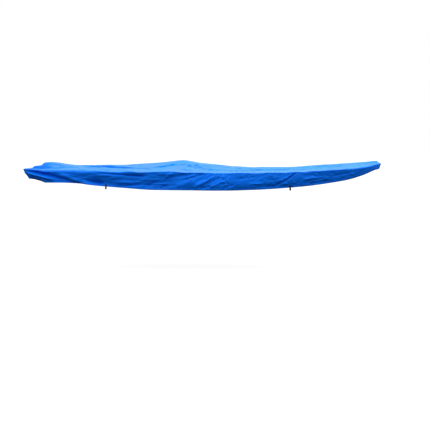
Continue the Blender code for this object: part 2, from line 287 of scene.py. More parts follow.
SKIRT_SHAPE = (
    # x, quarter, half, three_quarters, hem: how far the skirt stands off its lean on the way down
    (TAIL_X, 0.000, -0.006, -0.006, 0.000),
    (-2.450, 0.004, 0.020, -0.004, -0.040),
    (-2.380, 0.004, 0.038, 0.014, -0.036),
    (-2.300, 0.000, 0.036, 0.022, -0.030),
    (-2.220, 0.000, 0.036, 0.036, 0.006),
    (-2.000, 0.000, 0.018, 0.036, 0.028),
    (-1.700, -0.004, 0.000, 0.026, 0.026),
    (-1.350, 0.000, -0.006, -0.022, 0.002),
    (-1.200, 0.000, -0.004, -0.014, 0.000),
    (-1.080, -0.002, -0.002, -0.018, -0.014),
    (-0.700, -0.010, -0.014, -0.008, -0.006),
    (-0.200, -0.008, -0.008, 0.004, 0.004),
    (0.100, 0.010, 0.021, 0.032, 0.022),
    (0.450, 0.020, 0.040, 0.054, 0.040),
    (1.000, 0.015, 0.030, 0.030, 0.008),
    (1.450, 0.012, 0.022, 0.014, -0.004),
    (1.650, 0.010, 0.019, 0.012, 0.000),
    (1.900, 0.008, 0.016, 0.014, 0.000),
    (2.400, 0.003, 0.006, 0.006, 0.000),
    (2.950, 0.004, 0.006, 0.006, 0.000),
    (3.090, 0.002, 0.004, 0.004, 0.004),
    (NOSE_X, 0.000, 0.000, 0.000, 0.000),
)
NEAR, FAR = -1, 1

# Folds of the skirt, as rows of x_from, z_from, x_to, z_to, bow, rise, width, skew, and the width at the
# end where that differs. bow is how far a fold curves to its upper side, and a rise below nought is a
# trough. skew makes the fold's lower flank the steeper, or its upper one where it is below nought.
FOLD_ENDS, FLANK_TURN = 0.25, 3  # share of a fold that fades, and how fast one flank turns to the other
TROUGH_ROUND, TROUGH_FALL = 0.2, 1.3
NEAR_FOLDS = (
    (-2.76, -0.043, -1.40, -0.413, 0.000, -0.060, 0.030, -0.3, 0.034),
    (-2.54, -0.169, -2.02, -0.298, 0.003, 0.024, 0.018, 0.3, 0.016),
    (-2.34, -0.235, -1.96, -0.360, 0.000, -0.024, 0.013, 0.0, 0.018),
    (-2.05, -0.222, -1.06, -0.238, 0.004, 0.004, 0.018, 0.4),
    (-2.08, -0.300, -1.84, -0.335, 0.000, -0.014, 0.014, 0.3),
    (-1.84, -0.232, -1.20, -0.372, 0.010, -0.022, 0.018, 0.4),
    (-1.96, -0.225, -1.30, -0.330, 0.010, 0.016, 0.020, 0.5),
    (-1.52, -0.300, -1.14, -0.352, -0.008, -0.028, 0.024, 0.4),
    (-1.36, -0.232, -0.80, -0.242, 0.006, 0.008, 0.018, 0.5),
    (-1.42, -0.182, -0.50, -0.254, 0.002, -0.023, 0.015, 0.2),
    (-1.00, -0.206, -0.52, -0.240, -0.004, -0.014, 0.016, 0.4),
    (-1.20, -0.305, -0.74, -0.300, 0.008, -0.010, 0.020, 0.4),
    (-0.72, -0.300, -0.30, -0.296, 0.008, 0.014, 0.018, 0.4),
    (-0.56, -0.352, -0.14, -0.322, 0.004, -0.014, 0.020, 0.4),
    (-1.10, -0.350, -0.62, -0.335, 0.006, 0.009, 0.018, 0.5),
    (-1.12, -0.410, -0.40, -0.366, 0.014, -0.022, 0.018, 0.4),
    (-0.64, -0.382, -0.20, -0.384, 0.006, -0.024, 0.012, 0.4),
    (-0.46, -0.212, -0.10, -0.206, 0.004, 0.012, 0.014, 0.3),
    (-0.36, -0.402, -0.06, -0.384, 0.008, -0.010, 0.016, 0.4),
    (-0.10, -0.262, 0.34, -0.176, 0.010, -0.015, 0.016, 0.3),
    (-0.06, -0.322, 0.36, -0.202, 0.010, -0.017, 0.017, 0.3),
    (-0.16, -0.412, 0.26, -0.300, 0.010, 0.013, 0.036, 0.2),
    (0.06, -0.448, 0.20, -0.424, 0.004, -0.016, 0.016, 0.3),
    (0.26, -0.345, 0.50, -0.222, -0.014, 0.018, 0.014, 0.3),
    (0.30, -0.398, 0.62, -0.236, 0.006, -0.019, 0.017, 0.3),
    (0.40, -0.420, 0.66, -0.300, 0.004, 0.014, 0.016, 0.4),
    (0.24, -0.425, 0.44, -0.392, 0.004, -0.024, 0.020, 0.3),
    (0.60, -0.432, 0.80, -0.362, 0.004, -0.020, 0.018, 0.3),
    (0.78, -0.290, 1.18, -0.250, 0.008, -0.013, 0.018, 0.4),
    (1.02, -0.364, 1.28, -0.348, 0.004, 0.014, 0.013, 0.4),
    (1.38, -0.390, 1.80, -0.136, -0.026, -0.032, 0.014, 0.1, 0.011),
    (1.44, -0.330, 1.74, -0.160, -0.020, 0.012, 0.014, 0.3, 0.012),
    (1.52, -0.364, 1.78, -0.330, 0.004, 0.014, 0.014, 0.4),
    (1.10, -0.410, 1.74, -0.404, 0.012, -0.012, 0.022, 0.3),
    (1.98, -0.200, 2.08, -0.262, 0.000, -0.014, 0.014, 0.2),
    (2.06, -0.262, 2.20, -0.212, 0.000, -0.014, 0.014, 0.2),
    (1.84, -0.300, 2.14, -0.262, 0.006, 0.012, 0.018, 0.4),
    (1.98, -0.352, 2.32, -0.318, 0.006, -0.018, 0.018, 0.4),
    (2.30, -0.250, 2.62, -0.200, 0.006, -0.012, 0.016, 0.4),
)
FAR_FOLDS = (
    (-2.50, -0.150, -1.66, -0.335, 0.016, -0.020, 0.020, 0.4),
    (-2.47, -0.185, -1.98, -0.325, 0.008, 0.016, 0.018, 0.4),
    (-2.38, -0.140, -1.60, -0.260, -0.010, 0.012, 0.026, 0.4),
    (-2.30, -0.270, -1.92, -0.325, 0.004, -0.010, 0.018, 0.4),
    (-1.92, -0.210, -1.26, -0.375, 0.010, -0.013, 0.020, 0.4),
    (-1.86, -0.240, -1.40, -0.372, 0.010, 0.011, 0.018, 0.5),
    (-1.45, -0.182, -0.80, -0.248, -0.008, -0.015, 0.018, 0.4),
    (-1.08, -0.290, -0.50, -0.372, 0.010, 0.012, 0.022, 0.5),
    (-0.90, -0.270, -0.42, -0.330, 0.006, -0.010, 0.020, 0.4),
    (-0.64, -0.222, -0.12, -0.330, -0.010, -0.013, 0.020, 0.4),
    (-0.16, -0.385, 0.42, -0.235, 0.010, 0.013, 0.022, 0.5),
    (0.20, -0.412, 0.66, -0.305, 0.008, -0.013, 0.018, 0.4),
    (0.30, -0.320, 0.62, -0.222, 0.008, 0.010, 0.016, 0.4),
    (0.72, -0.222, 1.22, -0.345, 0.008, -0.012, 0.022, 0.4),
    (1.00, -0.240, 1.42, -0.392, 0.006, 0.011, 0.022, 0.4),
    (1.66, -0.185, 2.02, -0.345, 0.010, -0.016, 0.018, 0.4),
    (2.08, -0.300, 2.48, -0.190, 0.006, 0.009, 0.020, 0.4),
)

# The fan: thin ridges side by side, from a first one to a last one.
FAN_FIRST, FAN_LAST = (0.44, -0.350, 0.53, -0.205), (0.69, -0.360, 0.73, -0.205)
FAN_COUNT, FAN_BOW, FAN_RISE, FAN_WIDTH, FAN_SKEW = 6, 0.012, 0.014, 0.011, 0.3

# Folds of the flap over the tail, with y for x.
FLAP_FOLDS = (
    (-0.60, -0.140, -0.28, -0.270, 0.006, -0.014, 0.018, 0.4),
    (-0.60, -0.175, -0.44, -0.270, 0.004, 0.011, 0.016, 0.4),
    (-0.52, -0.130, -0.06, -0.205, 0.006, 0.008, 0.020, 0.4),
    (0.60, -0.140, 0.20, -0.262, -0.006, -0.013, 0.018, 0.4),
    (0.60, -0.180, 0.46, -0.272, -0.004, 0.010, 0.016, 0.4),
    (0.48, -0.132, 0.02, -0.190, -0.006, 0.008, 0.020, 0.4),
    (-0.20, -0.165, 0.12, -0.215, 0.010, -0.007, 0.022, 0.3),
)

# Folds of the top, seen from above, with y for z.
TOP_FOLDS = (
    (-2.10, -0.44, -1.60, -0.30, 0.020, -0.014, 0.040, 0.2),
    (-2.36, 0.50, -1.90, 0.26, -0.020, -0.016, 0.040, 0.2),
    (-2.20, -0.52, -1.60, -0.58, 0.030, -0.008, 0.034, 0.2),
    (-2.30, 0.56, -1.56, 0.62, -0.030, -0.010, 0.034, 0.2),
    (-0.80, -0.03, -0.66, -0.06, 0.000, -0.010, 0.030, -0.4),
    (-1.02, -0.66, -0.66, -0.84, 0.020, -0.028, 0.055, 0.2),
    (-2.12, -0.09, -1.64, -0.13, 0.010, -0.012, 0.045, -0.4),
    (0.10, -0.40, 1.20, -0.52, -0.010, -0.012, 0.090, -0.8),
    (0.90, -0.34, 2.20, -0.26, 0.010, -0.020, 0.090, -0.8),
    (1.60, -0.16, 2.70, -0.12, 0.010, -0.016, 0.070, -0.8),
    (-1.70, -0.64, -1.10, -0.66, 0.010, -0.012, 0.028, 0.2),
    (-1.20, -0.62, -0.20, -0.70, 0.030, -0.007, 0.034, 0.1),
    (-1.60, 0.40, -0.50, 0.18, 0.040, -0.034, 0.050, -0.5),
    (-1.50, 0.62, -0.40, 0.56, -0.050, -0.024, 0.050, -0.5),
    (-0.04, -0.04, -0.74, -0.66, 0.030, 0.011, 0.040, 0.2),
    (0.04, -0.04, 0.66, -0.74, -0.030, 0.011, 0.040, 0.2),
    (-0.04, 0.04, -0.62, 0.74, -0.030, 0.018, 0.045, 0.4),
    (0.04, 0.04, 0.72, 0.66, 0.030, 0.018, 0.045, 0.4),
    (0.00, -0.06, -0.06, -0.90, 0.020, 0.008, 0.040, 0.2),
    (0.02, 0.06, 0.10, 0.88, 0.020, 0.014, 0.045, 0.4),
    (0.75, -0.32, 1.90, -0.18, 0.040, -0.011, 0.044, 0.2),
    (1.30, -0.60, 2.50, -0.30, 0.040, -0.007, 0.036, 0.1),
    (0.70, 0.40, 2.10, 0.18, -0.050, -0.032, 0.055, -0.5),
    (1.20, 0.62, 2.40, 0.32, -0.050, -0.024, 0.050, -0.5),
    (2.20, -0.16, 3.00, -0.05, 0.015, -0.006, 0.030, 0.1),
)

# Creases of the top where the cloth steps down. The grid's rows are drawn together along each.
TOP_STEPS = (
    # places (x, y, step down on the near side, reach of the step)
    (
        (-1.680, -0.130, 0.000, 0.060),
        (-1.460, -0.160, 0.020, 0.060),
        (-1.265, -0.176, 0.038, 0.070),
        (-1.070, -0.232, 0.038, 0.080),
        (-0.960, -0.285, 0.030, 0.080),
        (-0.875, -0.330, 0.020, 0.080),
        (-0.700, -0.400, 0.015, 0.070),
        (-0.510, -0.430, 0.013, 0.070),
        (-0.380, -0.402, 0.019, 0.080),
        (-0.300, -0.362, 0.018, 0.080),
        (-0.150, -0.285, 0.013, 0.080),
        (0.000, -0.190, 0.000, 0.070),
    ),
    (
        (-2.470, -0.245, 0.000, 0.040),
        (-2.410, -0.258, 0.024, 0.045),
        (-2.300, -0.292, 0.030, 0.060),
        (-2.163, -0.350, 0.026, 0.070),
        (-2.020, -0.395, 0.000, 0.070),
    ),
    (
        (-0.010, -0.120, 0.000, 0.060),
        (0.040, -0.215, 0.014, 0.080),
        (0.090, -0.304, 0.017, 0.090),
        (0.160, -0.400, 0.015, 0.090),
        (0.230, -0.500, 0.000, 0.090),
    ),
)
DRAWN, DRAWN_WIDTH = 0.8, 0.030  # share of its spacing that the grid gives up there, over a width
DRAWN_STEP, LIP_WIDTH = 0.008, 0.006  # the step that draws it fully, and the width of a step

# Small crinkles strewn over stretches of the cloth, as rows of x_from, x_to, angle, spread, count, length,
# width, rise. The angle is up towards the nose, in degrees, and the three shares are random between two.
SKIRT_STREWN, TOP_STREWN = (-0.43, -0.12), (-0.95, 0.95)  # over what heights, and how far across
SIZE_SHARE, RISE_SHARE, WIDTH_SHARE = (0.6, 1.4), (0.5, 1.5), (0.8, 1.3)
STREWN_BOW, STREWN_SKEW = 0.06, 0.3
NEAR_CRINKLES = (
    (-2.42, -1.30, -13, 7, 34, 0.30, 0.015, 0.0050),
    (-1.60, -0.30, -2, 9, 46, 0.26, 0.015, 0.0060),
    (-0.60, 0.30, 22, 9, 40, 0.22, 0.015, 0.0065),
    (0.10, 0.75, 42, 16, 26, 0.13, 0.011, 0.0050),
    (0.60, 1.40, 25, 40, 90, 0.09, 0.011, 0.0050),
    (1.20, 2.20, 24, 25, 90, 0.10, 0.012, 0.0050),
    (1.90, 3.10, 14, 30, 90, 0.10, 0.012, 0.0050),
)
FAR_CRINKLES = (
    (-2.42, -1.20, -13, 8, 34, 0.30, 0.015, 0.0042),
    (-1.50, 0.20, 4, 14, 60, 0.22, 0.015, 0.0040),
    (-0.20, 1.30, -20, 25, 90, 0.14, 0.013, 0.0040),
    (1.00, 3.10, 12, 28, 120, 0.12, 0.013, 0.0030),
)
TOP_CRINKLES = (
    (-2.40, -1.10, 0, 12, 60, 0.50, 0.026, 0.0085),
    (-1.40, 1.10, 0, 20, 130, 0.45, 0.026, 0.0085),
    (0.80, 3.05, 0, 12, 90, 0.50, 0.024, 0.0080),
)
LOOP_X = {"aft": -1.195, "fore": 1.657}
LOOP_PATCH, PATCH_FADE = 0.026, 0.040  # flat skirt behind a loop, and where its folds come back
PATCH_TOP, PATCH_RISE = 0.16, 0.08  # the height above the hem where they are back, and over what
HEM_ROWS = (
    # above_hem, out: the hem is turned in twice, thickest at its lower edge
    (0.0320, 0.0000),
    (0.0300, 0.0010),
    (0.0200, 0.0009),
    (0.0110, 0.0016),
    (0.0050, 0.0024),
    (0.0010, 0.0012),
    (0.0000, -0.0006),
)
STATION_STEPS = (
    # to_x, steps along each side
    (-0.10, 128),
    (1.00, 100),
    (FRONT_X, 91),
)
ACROSS_STEPS = (
    # to_share, steps: places across the top, from -1 at the near shoulder to 1 at the far one
    (-0.80, 8),
    (-0.45, 10),
    (-0.06, 24),
    (0.06, 4),
    (0.40, 7),
    (0.80, 6),
    (1.00, 5),
)
BEND_ROWS, SKIRT_ROWS = 4, 27
MERGED = 0.00005  # the top's and the skirt's points that lie closer are one
CRUMPLES = (
    # x, rise of the skirt's crumples, rise of the top's
    (TAIL_X, 0.000, 0.000),
    (-2.200, 0.0030, 0.004),
    (-0.600, 0.0040, 0.007),
    (0.000, 0.0060, 0.007),
    (0.400, 0.0050, 0.007),
    (1.500, 0.0055, 0.006),
    (2.500, 0.0050, 0.006),
    (NOSE_X, 0.004, 0.002),
)
SKIRT_CRUMPLE, TOP_CRUMPLE = (0.19, 0.092), (0.55, 0.16)  # long, and high or wide
CRUMPLE_WARP, CRUMPLE_SIZES, CRUMPLE_FALL = 0.6, (1.0, 2.1, 4.3), 0.8
CRUMPLE_EDGE = 0.35  # height of a crumple's sharp edge above its mean
CRUMPLE_SLANT, SIDE_SHIFT = 0.4, 5  # the skirt's crumples slant, and each side has its own
EDGE_SHARE = 0.85  # of the shoulder's width, for the skirt's share of the bend
TAIL_FADE, TAIL_LEAST = 0.14, 0.2  # where the sides' folds come in from the tail, and their least
FAR_FADE = 0.60  # where the far side's own shape comes in from the tail
RIDGE_CALM = (0.35, 0.05, 0.15)  # share of the top's folds at the ridge, and where they come back
TOP_EDGE_FADE, TOP_END_FADE = 0.08, 0.10  # from the top's sides and ends, where its folds come in
FOLDS_FROM = 0.012  # past the bend, where the skirt's folds come in
FRONT_LATE, TAIL_LATE = 4, 16  # powers, for how late the top's columns take up the curves of its ends
SEED, SLOPE_TABLE, NUDGE = 7, (64, 64), 0.01


def curve_through(table, x, column=1):
    """Smooth values through a table's rows, which never swing past them."""
    xs, ys = np.array(table)[:, (0, column)].T
    steps, slopes = np.diff(xs), np.diff(ys) / np.diff(xs)
    tangent = np.concatenate([slopes[:1], np.zeros(len(slopes) - 1), slopes[-1:]])
    same_sign = slopes[:-1] * slopes[1:] > 0
    before, after = 2 * steps[1:] + steps[:-1], steps[1:] + 2 * steps[:-1]
    harmonic = before[same_sign] / slopes[:-1][same_sign] + after[same_sign] / slopes[1:][same_sign]
    tangent[1:-1][same_sign] = (before + after)[same_sign] / harmonic
    x = np.clip(x, xs[0], xs[-1])
    i = np.clip(np.searchsorted(xs, x, side="right") - 1, 0, len(slopes) - 1)
    t = (x - xs[i]) / steps[i]
    from_start = ys[i] * (1 + 2 * t) * (1 - t) ** 2 + tangent[i] * steps[i] * t * (1 - t) ** 2
    return from_start + ys[i + 1] * t**2 * (3 - 2 * t) + tangent[i + 1] * steps[i] * t**2 * (t - 1)


def shoulder_height(x):
    return curve_through(LINES, x, 2) + curve_through(SHOULDER_WAVES, x)


def corner_inset(distance):
    short = np.clip(CORNER_RADIUS - distance, 0, CORNER_RADIUS)
    return CORNER_RADIUS - np.sqrt(CORNER_RADIUS**2 - short**2)


def half_width(x):
    front_y = np.linspace(0, FRONT[-1][0], 400)
    in_front = np.interp(x, curve_through(FRONT, front_y)[::-1], front_y[::-1])
    return np.where(x > FRONT_X, in_front, curve_through(LINES, x, 1)) - corner_inset(x - TAIL_X)


def tail_x(y):
    half = LINES[0][1]
    return TAIL_X - TAIL_CAMBER * (1 - (y / half) ** 2) + corner_inset(half - np.abs(y))


def smooth_step(share):
    share = np.clip(share, 0, 1)
    return share * share * (3 - 2 * share)


def over_shoulder(past, radius):
    """Out and up from the sharp corner, at a length past it, where a bend rounds the corner."""
    turn = (np.clip(past / radius, -1, 1) + 1) * math.pi / 4
    out = np.minimum(past + radius, 0) - radius + radius * np.sin(turn)
    return out, radius * np.cos(turn) - radius - np.maximum(past - radius, 0)


def folds_height(u, v, folds):
    """Height that folds add at places (u, v) of a flat piece of cloth, in metres."""
    total = np.zeros(u.shape)
    for u_from, v_from, u_to, v_to, bow, rise, width, skew, *width_to in folds:
        length = math.hypot(u_to - u_from, v_to - v_from)
        run, climb = (u_to - u_from) / length, (v_to - v_from) / length
        along = ((u - u_from) * run + (v - v_from) * climb) / length
        above = (v - v_from) * run - (u - u_from) * climb - 4 * bow * along * (1 - along)
        if width_to:
            width = width + (width_to[0] - width) * np.clip(along, 0, 1)
        flank = width * (1 + skew * np.tanh(FLANK_TURN * above / width))
        ends = smooth_step(np.minimum(along, 1 - along) / FOLD_ENDS)
        near = np.abs(above) / flank
        fall = near**2 if rise > 0 else TROUGH_FALL * (np.hypot(near, TROUGH_ROUND) - TROUGH_ROUND)
        total += rise * np.exp(-fall) * ends
    return total


def step_beside(x, y, line):
    """Distance from a crease of the top, and the crease's step and reach, at places (x, y)."""
    crease_y, step, reach = (curve_through(line, x, column) for column in (1, 2, 3))
    slope = (curve_through(line, x + NUDGE) - curve_through(line, x - NUDGE)) / (2 * NUDGE)
    inside = (x > line[0][0]) & (x < line[-1][0])
    return (y - crease_y) / np.hypot(1, slope), step * inside, reach


def drawn_together(x, y):
    """Moves places across the top towards its creases, so that the rows lie close along them."""
    for line in TOP_STEPS:
        distance, step, _ = step_beside(x, y, line)
        pull = DRAWN * smooth_step(step / DRAWN_STEP)
        y = y - pull * distance * np.exp(-((distance / DRAWN_WIDTH) ** 2))
    return y


def steps_height(x, y):
    """Height that the creases' steps add: the far lip stands up and the near side dips."""
    total = np.zeros(x.shape)
    for line in TOP_STEPS:
        distance, step, reach = step_beside(x, y, line)
        lip = np.tanh(distance / LIP_WIDTH) * np.exp(-np.abs(distance) / reach)
        total += 0.5 * step * lip
    return total


def scattered(rng, rows, low, high):
    """Small folds strewn over stretches of cloth, between two heights or places across."""
    folds = []
    for x_from, x_to, angle, spread, count, length, width, rise in rows:
        for _ in range(count):
            turn = math.radians(rng.normal(angle, spread))
            size = rng.uniform(*SIZE_SHARE)
            u, v = rng.uniform(x_from, x_to), rng.uniform(low, high)
            du, dv = 0.5 * length * size * math.cos(turn), 0.5 * length * size * math.sin(turn)
            up = rng.choice((-1, 1)) * rise * rng.uniform(*RISE_SHARE)
            bow = STREWN_BOW * length * rng.normal()
            wide = width * rng.uniform(*WIDTH_SHARE)
            folds.append((u - du, v - dv, u + du, v + dv, bow, up, wide, STREWN_SKEW))
    return folds


def smooth_noise(u, v, angles):
    """Noise over a plane, from a square table of slopes' directions, within about 0.7 of nought."""
    i, j = np.floor(u).astype(int), np.floor(v).astype(int)
    total = np.zeros(u.shape)
    for column in (i, i + 1):
        for row in (j, j + 1):
            turn = angles[column % len(angles), row % len(angles)]
            weight = smooth_step(1 - np.abs(u - column)) * smooth_step(1 - np.abs(v - row))
            total += weight * (np.cos(turn) * (u - column) + np.sin(turn) * (v - row))
    return total


def crumpled(u, v, angles):
    """Crumples about 1 high: creases of three sizes, each sharp where smooth noise crosses nought."""
    warp_u = u + CRUMPLE_WARP * smooth_noise(u + 7.3, v + 1.9, angles)
    warp_v = v + CRUMPLE_WARP * smooth_noise(u + 3.1, v + 8.7, angles)
    total = np.zeros(u.shape)
    for size in CRUMPLE_SIZES:
        high = CRUMPLE_EDGE - np.abs(smooth_noise(warp_u * size, warp_v * size, angles))
        total += high / size**CRUMPLE_FALL
    return total


def top_height(x, y):
    """The top sags from the ridge to the shoulder, and stands up flat where the hump is."""
    shoulder, ridge = shoulder_height(x), curve_through(RIDGE, x)
    low_ridge = np.where(x < HUMP[-1][0], curve_through(HUMP, x, 1), ridge)
    across = y / np.maximum(half_width(x), RIDGE_ROUND)
    away = np.hypot(across, RIDGE_ROUND) - RIDGE_ROUND
    share = np.clip(1 - away / (np.hypot(1, RIDGE_ROUND) - RIDGE_ROUND), 0, 1)
    sagged = shoulder + (low_ridge - shoulder) * share**SAG
    bowed = x - HUMP_BOW * (y - BOW_Y) ** 2 * smooth_step((BOW_END - x) / BOW_FADE)
    flat_half, flank = curve_through(HUMP, x, 3), curve_through(HUMP, x, 4)
    flank = np.where(y > 0, flank + FAR_FLANK, flank)
    raised = curve_through(HUMP, bowed, 2) * smooth_step((flat_half + flank - np.abs(y)) / flank)
    return sagged + raised * np.maximum(curve_through(RIDGE, bowed) - sagged, 0)


def rake(x, drop):
    """How far forward the skirt goes at a drop below the shoulder, beside the sloping tail."""
    return TAIL_RAKE * drop * (1 - smooth_step((x - TAIL_X) / RAKE_FADE))


def stepped(start, rows):
    """Places from a start on, each row's even steps up to its end."""
    places = []
    for end, steps in rows:
        places += list(np.linspace(start, end, steps + 1)[:-1])
        start = end
    return [*places, start]


def shoulder_loop(stations, across):
    side_y = half_width(stations)
    front_y, tail_y = across * side_y[-1], across[::-1] * side_y[0]
    x = np.concatenate(
        [stations[:-1], curve_through(FRONT, np.abs(front_y))[:-1], stations[:0:-1], tail_x(tail_y)[:-1]]
    )
    y = np.concatenate([-side_y[:-1], front_y[:-1], side_y[:0:-1], tail_y[:-1]])
    return x, y


def outward(x, y):
    along_x, along_y = np.roll(x, -1) - np.roll(x, 1), np.roll(y, -1) - np.roll(y, 1)
    length = np.hypot(along_x, along_y)
    return along_y / length, -along_x / length


def add_grid(bm, layers, points, painted_shading, uvs, wrap):
    """A grid of faces over an array of points, rows by columns, closed round where wrap is True."""
    uv_layer, painted_shading_layer = layers
    rows, columns = points.shape[:2]
    verts = [[bm.verts.new(p) for p in row] for row in points]
    for row, values in zip(verts, painted_shading):
        for vert, value in zip(row, values):
            vert[painted_shading_layer] = value
    for j, i in np.ndindex(rows - 1, columns - (not wrap)):
        corners = (j, i), (j, i + 1), (j + 1, i + 1), (j + 1, i)
        face = bm.faces.new([verts[row][column % columns] for row, column in corners])
        for loop, corner in zip(face.loops, corners):
            loop[uv_layer].uv = uvs[corner]


def grid_object(name, grids, capped=0):
    """Grids of faces as one smooth object that faces out, open or with caps of so many points."""
    bm = bmesh.new()
    # The "fold" layer keeps each point's fold height, which the cloth's colour turns into painted highlight
    # on crests and painted shade in troughs.
    layers = bm.loops.layers.uv.new("thread"), bm.verts.layers.float.new("fold")
    for grid in grids:
        add_grid(bm, layers, *grid)
    if capped:
        bm.verts.ensure_lookup_table()
        bm.faces.new(bm.verts[:capped])
        bm.faces.new(bm.verts[-capped:])
    if len(grids) > 1:
        bmesh.ops.remove_doubles(bm, verts=bm.verts, dist=MERGED)
    bmesh.ops.recalc_face_normals(bm, faces=bm.faces)
    if not capped and sum(face.normal.z for face in bm.faces) < 0:
        bmesh.ops.reverse_faces(bm, faces=bm.faces)
    mesh = bpy.data.meshes.new(name)
    bm.to_mesh(mesh)
    bm.free()
    mesh.shade_smooth()
    return link_object(name, mesh)


rng = np.random.default_rng(SEED)
slopes = rng.uniform(0, 2 * math.pi, SLOPE_TABLE)
corner = TAIL_X + CORNER_RADIUS * (1 - math.sqrt(0.5))
past_corner = stepped(TAIL_X + CORNER_RADIUS, STATION_STEPS)
stations = np.array([corner, (corner + past_corner[0]) / 2, *past_corner])
across = np.array(stepped(-1.0, ACROSS_STEPS))
loop_x, loop_y = shoulder_loop(stations, across)
out_x, out_y = outward(loop_x, loop_y)
gaps = np.hypot(np.diff(loop_x, append=loop_x[0]), np.diff(loop_y, append=loop_y[0]))
around = np.concatenate([[0], np.cumsum(gaps)])
shoulder_z = shoulder_height(loop_x)
hem_z, bend = curve_through(LINES, loop_x, 3), curve_through(LINES, loop_x, 5)
on_tail = (loop_x < TAIL_X + 2 * CORNER_RADIUS) * np.clip(-out_x, 0, 1) ** 2
lean = curve_through(LINES, loop_x, 4) * (1 - on_tail)
edge = np.minimum(bend, EDGE_SHARE * SHOULDER_OUT)  # length of the bend that the skirt's own rows cover
full = shoulder_z - hem_z  # length of the skirt from the sharp corner to the hem
off_corner = np.where(loop_y > 0, smooth_step((loop_x - TAIL_X) / FAR_FADE), 1 - on_tail)
shape = np.array([curve_through(SKIRT_SHAPE, loop_x, column) * off_corner for column in (1, 2, 3, 4)])
shape = np.concatenate([np.zeros((1, len(loop_x))), shape])

fan = []
for share in np.linspace(0, 1, FAN_COUNT):
    place = np.array(FAN_FIRST) * (1 - share) + np.array(FAN_LAST) * share
    fan.append((*place, FAN_BOW, FAN_RISE * rng.uniform(0.7, 1.3), FAN_WIDTH, FAN_SKEW))
skirt_creases = {NEAR: [*NEAR_FOLDS, *scattered(rng, NEAR_CRINKLES, *SKIRT_STREWN), *fan]}
skirt_creases[FAR] = [*FAR_FOLDS, *scattered(rng, FAR_CRINKLES, *SKIRT_STREWN)]


def between(before, start, end, after, t):
    """A value a share t of the way from start to end, on a smooth curve through all four."""
    square = 2 * before - 5 * start + 4 * end - after
    cube = 3 * start - before - 3 * end + after
    return start + 0.5 * ((end - before) * t + square * t**2 + cube * t**3)


def shaped(share):
    """How far the skirt stands off its straight lean, at a share of its drop."""
    i = np.clip((share * 4).astype(int), 0, 3)
    t, columns = np.clip(share * 4 - i, 0, 1), np.arange(len(i))
    return between(*(shape[np.clip(i + k, 0, 4), columns] for k in (-1, 0, 1, 2)), t)


def skirt_folds(x, z):
    """How far the skirt's folds stand out, at a place and a height of each column."""
    total = np.zeros(loop_x.shape)
    for side, creases in skirt_creases.items():
        here = np.sign(loop_y) == side
        total[here] = folds_height(x[here], z[here], creases)
    long, high = SKIRT_CRUMPLE
    shift = SIDE_SHIFT * np.sign(loop_y)
    crumples = crumpled(x / long + shift, z / high - CRUMPLE_SLANT * x / long, slopes)
    total += curve_through(CRUMPLES, x, 1) * crumples
    from_tail = smooth_step((x - TAIL_X) / TAIL_FADE)
    total *= (1 - on_tail) * (TAIL_LEAST + (1 - TAIL_LEAST) * from_tail)
    total += on_tail * folds_height(loop_y, z, FLAP_FOLDS)
    flat = np.ones(loop_x.shape)
    for place in LOOP_X.values():
        beside = smooth_step((np.abs(loop_x - place) - LOOP_PATCH) / PATCH_FADE)
        flat *= 1 - (1 - beside) * np.clip((hem_z + PATCH_TOP - z) / PATCH_RISE, 0, 1)
    return total * flat, flat


def skirt_row(past, thick=0.0):
    """Points of the skirt at a length past the sharp corner, and how far their folds stand out."""
    out, up = over_shoulder(past, bend)
    z = shoulder_z + up
    drop = np.maximum(past - edge, 0)
    forward = rake(loop_x, drop)
    folds, flat = skirt_folds(loop_x + forward, z)
    folds = folds * smooth_step(past / (bend + FOLDS_FROM))
    away = SHOULDER_OUT + out - lean * drop + shaped(drop / (full - edge)) + folds + thick * flat
    return np.stack([loop_x + out_x * away + forward, loop_y + out_y * away, z], axis=-1), folds


lengths = [-SHOULDER_OUT + 0 * edge]
lengths += [edge * share for share in np.linspace(-1, 1, BEND_ROWS + 1) if share < 1]
lengths += [edge + (full - HEM_ROWS[0][0] - edge) * share for share in np.linspace(0, 1, SKIRT_ROWS)[:-1]]
thicks = [0.0] * len(lengths) + [thick for _, thick in HEM_ROWS]
lengths += [full - above_hem for above_hem, _ in HEM_ROWS]
skirt, skirt_relief = (np.array(part) for part in zip(*map(skirt_row, lengths, thicks)))
skirt_uv = np.empty((len(lengths), len(around), 2))
skirt_uv[:, :, 0] = around
skirt_uv[:, :-1, 1] = -np.array(lengths)
skirt_uv[:, -1, 1] = skirt_uv[:, 0, 1]

share = ((stations - stations[0]) / (stations[-1] - stations[0]))[:, None]
side_y = half_width(stations)
past_front = curve_through(FRONT, np.abs(across * side_y[-1])) - FRONT_X
past_tail = tail_x(across * side_y[0]) - stations[0]
top_x = stations[:, None] + share**FRONT_LATE * past_front + (1 - share) ** TAIL_LATE * past_tail
top_y = drawn_together(top_x, side_y[:, None] * across)
inside = half_width(top_x) + SHOULDER_OUT - np.abs(top_y)
out, up = over_shoulder(-inside, curve_through(LINES, top_x, 5))
edge_fade = smooth_step((inside - SHOULDER_OUT) / TOP_EDGE_FADE)
end_fade = np.clip(np.minimum(top_x - TAIL_X, NOSE_X - top_x) / TOP_END_FADE, 0, 1)
top_creases = [*TOP_FOLDS, *scattered(rng, TOP_CRINKLES, *TOP_STREWN)]
long, wide = TOP_CRUMPLE
least, calm_to, back_over = RIDGE_CALM
off_ridge = least + (1 - least) * smooth_step((np.abs(top_y) - calm_to) / back_over)
top_relief = folds_height(top_x, top_y, top_creases)
top_relief += curve_through(CRUMPLES, top_x, 2) * crumpled(top_x / long, top_y / wide, slopes)
top_relief = (top_relief * off_ridge + steps_height(top_x, top_y)) * edge_fade * end_fade
top_z = top_height(top_x, top_y) + up + top_relief
pushed = out + inside
top_x = top_x + out_x[: len(stations), None] * pushed
top_y = top_y - np.sign(top_y) * out_y[: len(stations), None] * pushed
for border in np.s_[0, :], np.s_[-1, :]:
    top_z[border] = shoulder_height(top_x[border])

